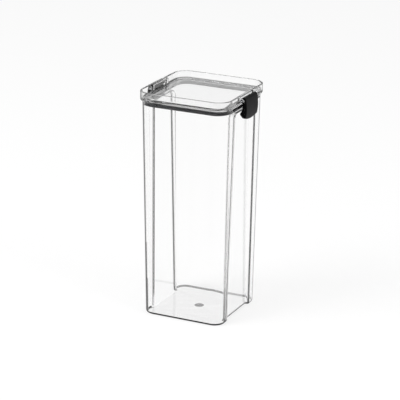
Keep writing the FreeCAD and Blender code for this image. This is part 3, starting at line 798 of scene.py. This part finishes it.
# %% [markdown]
# The seal is a ring round the plug, with two lips that press on the canister and a groove between them. Its
# section could be swept along a curve, but a rounded block has the canister's corners without any fitting.
# So it starts as a block with three floors, and the sides of the middle floor are pushed in for the groove.

# %% Seal
# The lips press on the wall with no air between, so they go a few hundredths of a millimetre into it
SEAL_HALF, SEAL_CORNER, SEAL_BOTTOM, SEAL_TOP = 47.93, 14.63, 227.5, RIM_Z - FILM
GROOVE_LOW, GROOVE_HIGH, GROOVE_DEPTH, LIP_ROUND = 229.6, 230.6, 1.0, 0.4
# A face is upright when its normal rises by less than this
UPRIGHT = 0.1
seal = rounded_block("silicone_seal", SEAL_HALF, SEAL_CORNER, SEAL_BOTTOM, GROOVE_LOW, finishes=(silicone,))
work_on(seal)
bpy.ops.object.mode_set(mode="EDIT")
bpy.ops.mesh.select_mode(type="FACE")
for floor_top in (GROOVE_HIGH, SEAL_TOP):
    bpy.ops.mesh.select_all(action="DESELECT")
    mesh = bmesh.from_edit_mesh(seal.data)
    highest = max(point.co.z for point in mesh.verts)
    for face in mesh.faces:
        face.select_set(face.calc_center_median().z > highest - TOUCH * MM)
    bmesh.update_edit_mesh(seal.data)
    bpy.ops.mesh.extrude_region_move(TRANSFORM_OT_translate={"value": (0, 0, floor_top * MM - highest)})
bpy.ops.mesh.select_all(action="DESELECT")
mesh = bmesh.from_edit_mesh(seal.data)
for face in mesh.faces:
    height = face.calc_center_median().z / MM
    face.select_set(GROOVE_LOW < height < GROOVE_HIGH and abs(face.normal.z) < UPRIGHT)
bmesh.update_edit_mesh(seal.data)
bpy.ops.mesh.extrude_region_shrink_fatten(TRANSFORM_OT_shrink_fatten={
    "value": -GROOVE_DEPTH * MM, "use_even_offset": True})
bpy.ops.object.mode_set(mode="OBJECT")

# %% [markdown]
# The plug and its bead hold the seal, which sits close on both. Insets at its top and bottom could open the
# ring, but the seat has a step. So the outlines of the plug and the bead are cut out of the block, each
# wider by the film of air, and the lower lip then hangs over the bead. The lips' edges are rounded last.

# %% Seat of the seal on the plug
for name, step_out, top in (("plug_cut", 0.0, RIM_Z + OVERLAP), ("bead_cut", BEAD_STEP, BEAD_TOP + FILM)):
    cut = rounded_block(name, PLUG_HALF + step_out + FILM, PLUG_CORNER + step_out + FILM,
                        SEAL_BOTTOM - OVERLAP, top, finishes=(silicone,))
    combine(seal, cut, "DIFFERENCE")


def lip_edge(first, second):
    """A level edge on the outside of the ring."""
    on_outside = outside(first, SEAL_HALF, SEAL_CORNER) and outside(second, SEAL_HALF, SEAL_CORNER)
    return on_outside and abs(first.z - second.z) < TOUCH


round_edges(seal, lip_edge, LIP_ROUND, slot=0)
smooth(seal)
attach(seal, "lid")
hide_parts("lid_seal")

# %% [markdown]
# The latches are moulded from black ABS, in a mould whose spark-eroded steel leaves a fine grain. To the
# eye that is a dull black with a soft highlight, paler where hands have rubbed it. The grain is a bump,
# because it is too fine for the mesh.

# %% Grained black plastic
# Mould grain is about 0.2 mm wide, drawn at 0.5 mm so that it shows. Rubbed patches are about 7 mm across
ABS_IOR, GRAIN, RUBBED_PATCH = 1.53, 0.5 * MM, 7 * MM
grained, tree = new_finish("black_grained_abs")
place = add_node(tree, "ShaderNodeTexCoord")
grain = add_node(tree, "ShaderNodeTexNoise", {
    "Vector": place.outputs["Object"], "Scale": 1 / GRAIN, "Detail": 2.0})
relief = add_node(tree, "ShaderNodeBump", {
    "Strength": 0.25, "Distance": 0.1 * MM, "Height": grain.outputs[0]})
rub = add_node(tree, "ShaderNodeTexNoise", {
    "Vector": place.outputs["Object"], "Scale": 1 / RUBBED_PATCH, "Detail": 3.0})
shade = add_node(tree, "ShaderNodeMix", {
    "Factor": rub.outputs[0], 6: linear("#050506"), 7: linear("#0c0c0d")}, data_type="RGBA")
gloss = add_node(tree, "ShaderNodeMapRange", {"Value": rub.outputs[0], "To Min": 0.36, "To Max": 0.52})
abs_surface = add_node(tree, "ShaderNodeBsdfPrincipled", {
    "Base Color": shade.outputs[2], "Roughness": gloss.outputs[0], "IOR": ABS_IOR,
    "Specular IOR Level": 0.06, "Normal": relief.outputs[0]})
add_node(tree, "ShaderNodeOutputMaterial", {"Surface": abs_surface.outputs[0]})
print("latch finish:", grained.name)

# %% [markdown]
# The solids of the latches already have the right crown and rounds, so modelling them again would add
# nothing. A copy of each is merged, because its triangles are loose, its flat triangles are joined, and it
# is shaded smooth.

# %% Latches
LATCH_MERGE, LATCH_FLAT = 0.001, math.radians(0.5)
for side in ("right", "left"):
    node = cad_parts["latch_" + side]
    latch = bpy.data.objects.new("black_latch_" + side, node.data.copy())
    scene.collection.objects.link(latch)
    work_on(latch)
    bpy.ops.object.mode_set(mode="EDIT")
    bpy.ops.mesh.select_all(action="SELECT")
    bpy.ops.mesh.remove_doubles(threshold=LATCH_MERGE * MM)
    bpy.ops.mesh.dissolve_limited(angle_limit=LATCH_FLAT)
    bpy.ops.object.mode_set(mode="OBJECT")
    latch.data.materials.clear()
    latch.data.materials.append(grained)
    smooth(latch)
    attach(latch, side + "_latch")
    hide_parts("latch_" + side)

# %% [markdown]
# The hinge pins are cut from drawn steel wire. Only their ends show in the lugs, so the solids stay as they
# are and get a metal finish with the fine lines that the drawing die leaves along their length.

# %% Pins
# Die lines are much finer than 0.1 mm, but are drawn that far apart so that they show. They run along Y
DIE_LINE, DIE_STRETCH = 0.1 * MM, 0.03
drawn_steel, tree = new_finish("drawn_steel_wire")
place = add_node(tree, "ShaderNodeTexCoord")
stretch = add_node(tree, "ShaderNodeMapping", {
    "Vector": place.outputs["Object"], "Scale": (1, DIE_STRETCH, 1)})
lines = add_node(tree, "ShaderNodeTexNoise", {
    "Vector": stretch.outputs[0], "Scale": 1 / DIE_LINE, "Detail": 2.0})
rough = add_node(tree, "ShaderNodeMapRange", {"Value": lines.outputs[0], "To Min": 0.22, "To Max": 0.42})
relief = add_node(tree, "ShaderNodeBump", {
    "Strength": 0.15, "Distance": 0.05 * MM, "Height": lines.outputs[0]})
steel = add_node(tree, "ShaderNodeBsdfPrincipled", {
    "Base Color": linear("#c4c5c8"), "Metallic": 1.0, "Roughness": rough.outputs[0],
    "Normal": relief.outputs[0]})
add_node(tree, "ShaderNodeOutputMaterial", {"Surface": steel.outputs[0]})
for side in ("right", "left"):
    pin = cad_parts["latch_pin_" + side]
    pin.data.materials.clear()
    pin.data.materials.append(drawn_steel)
print("pins are", drawn_steel.name)
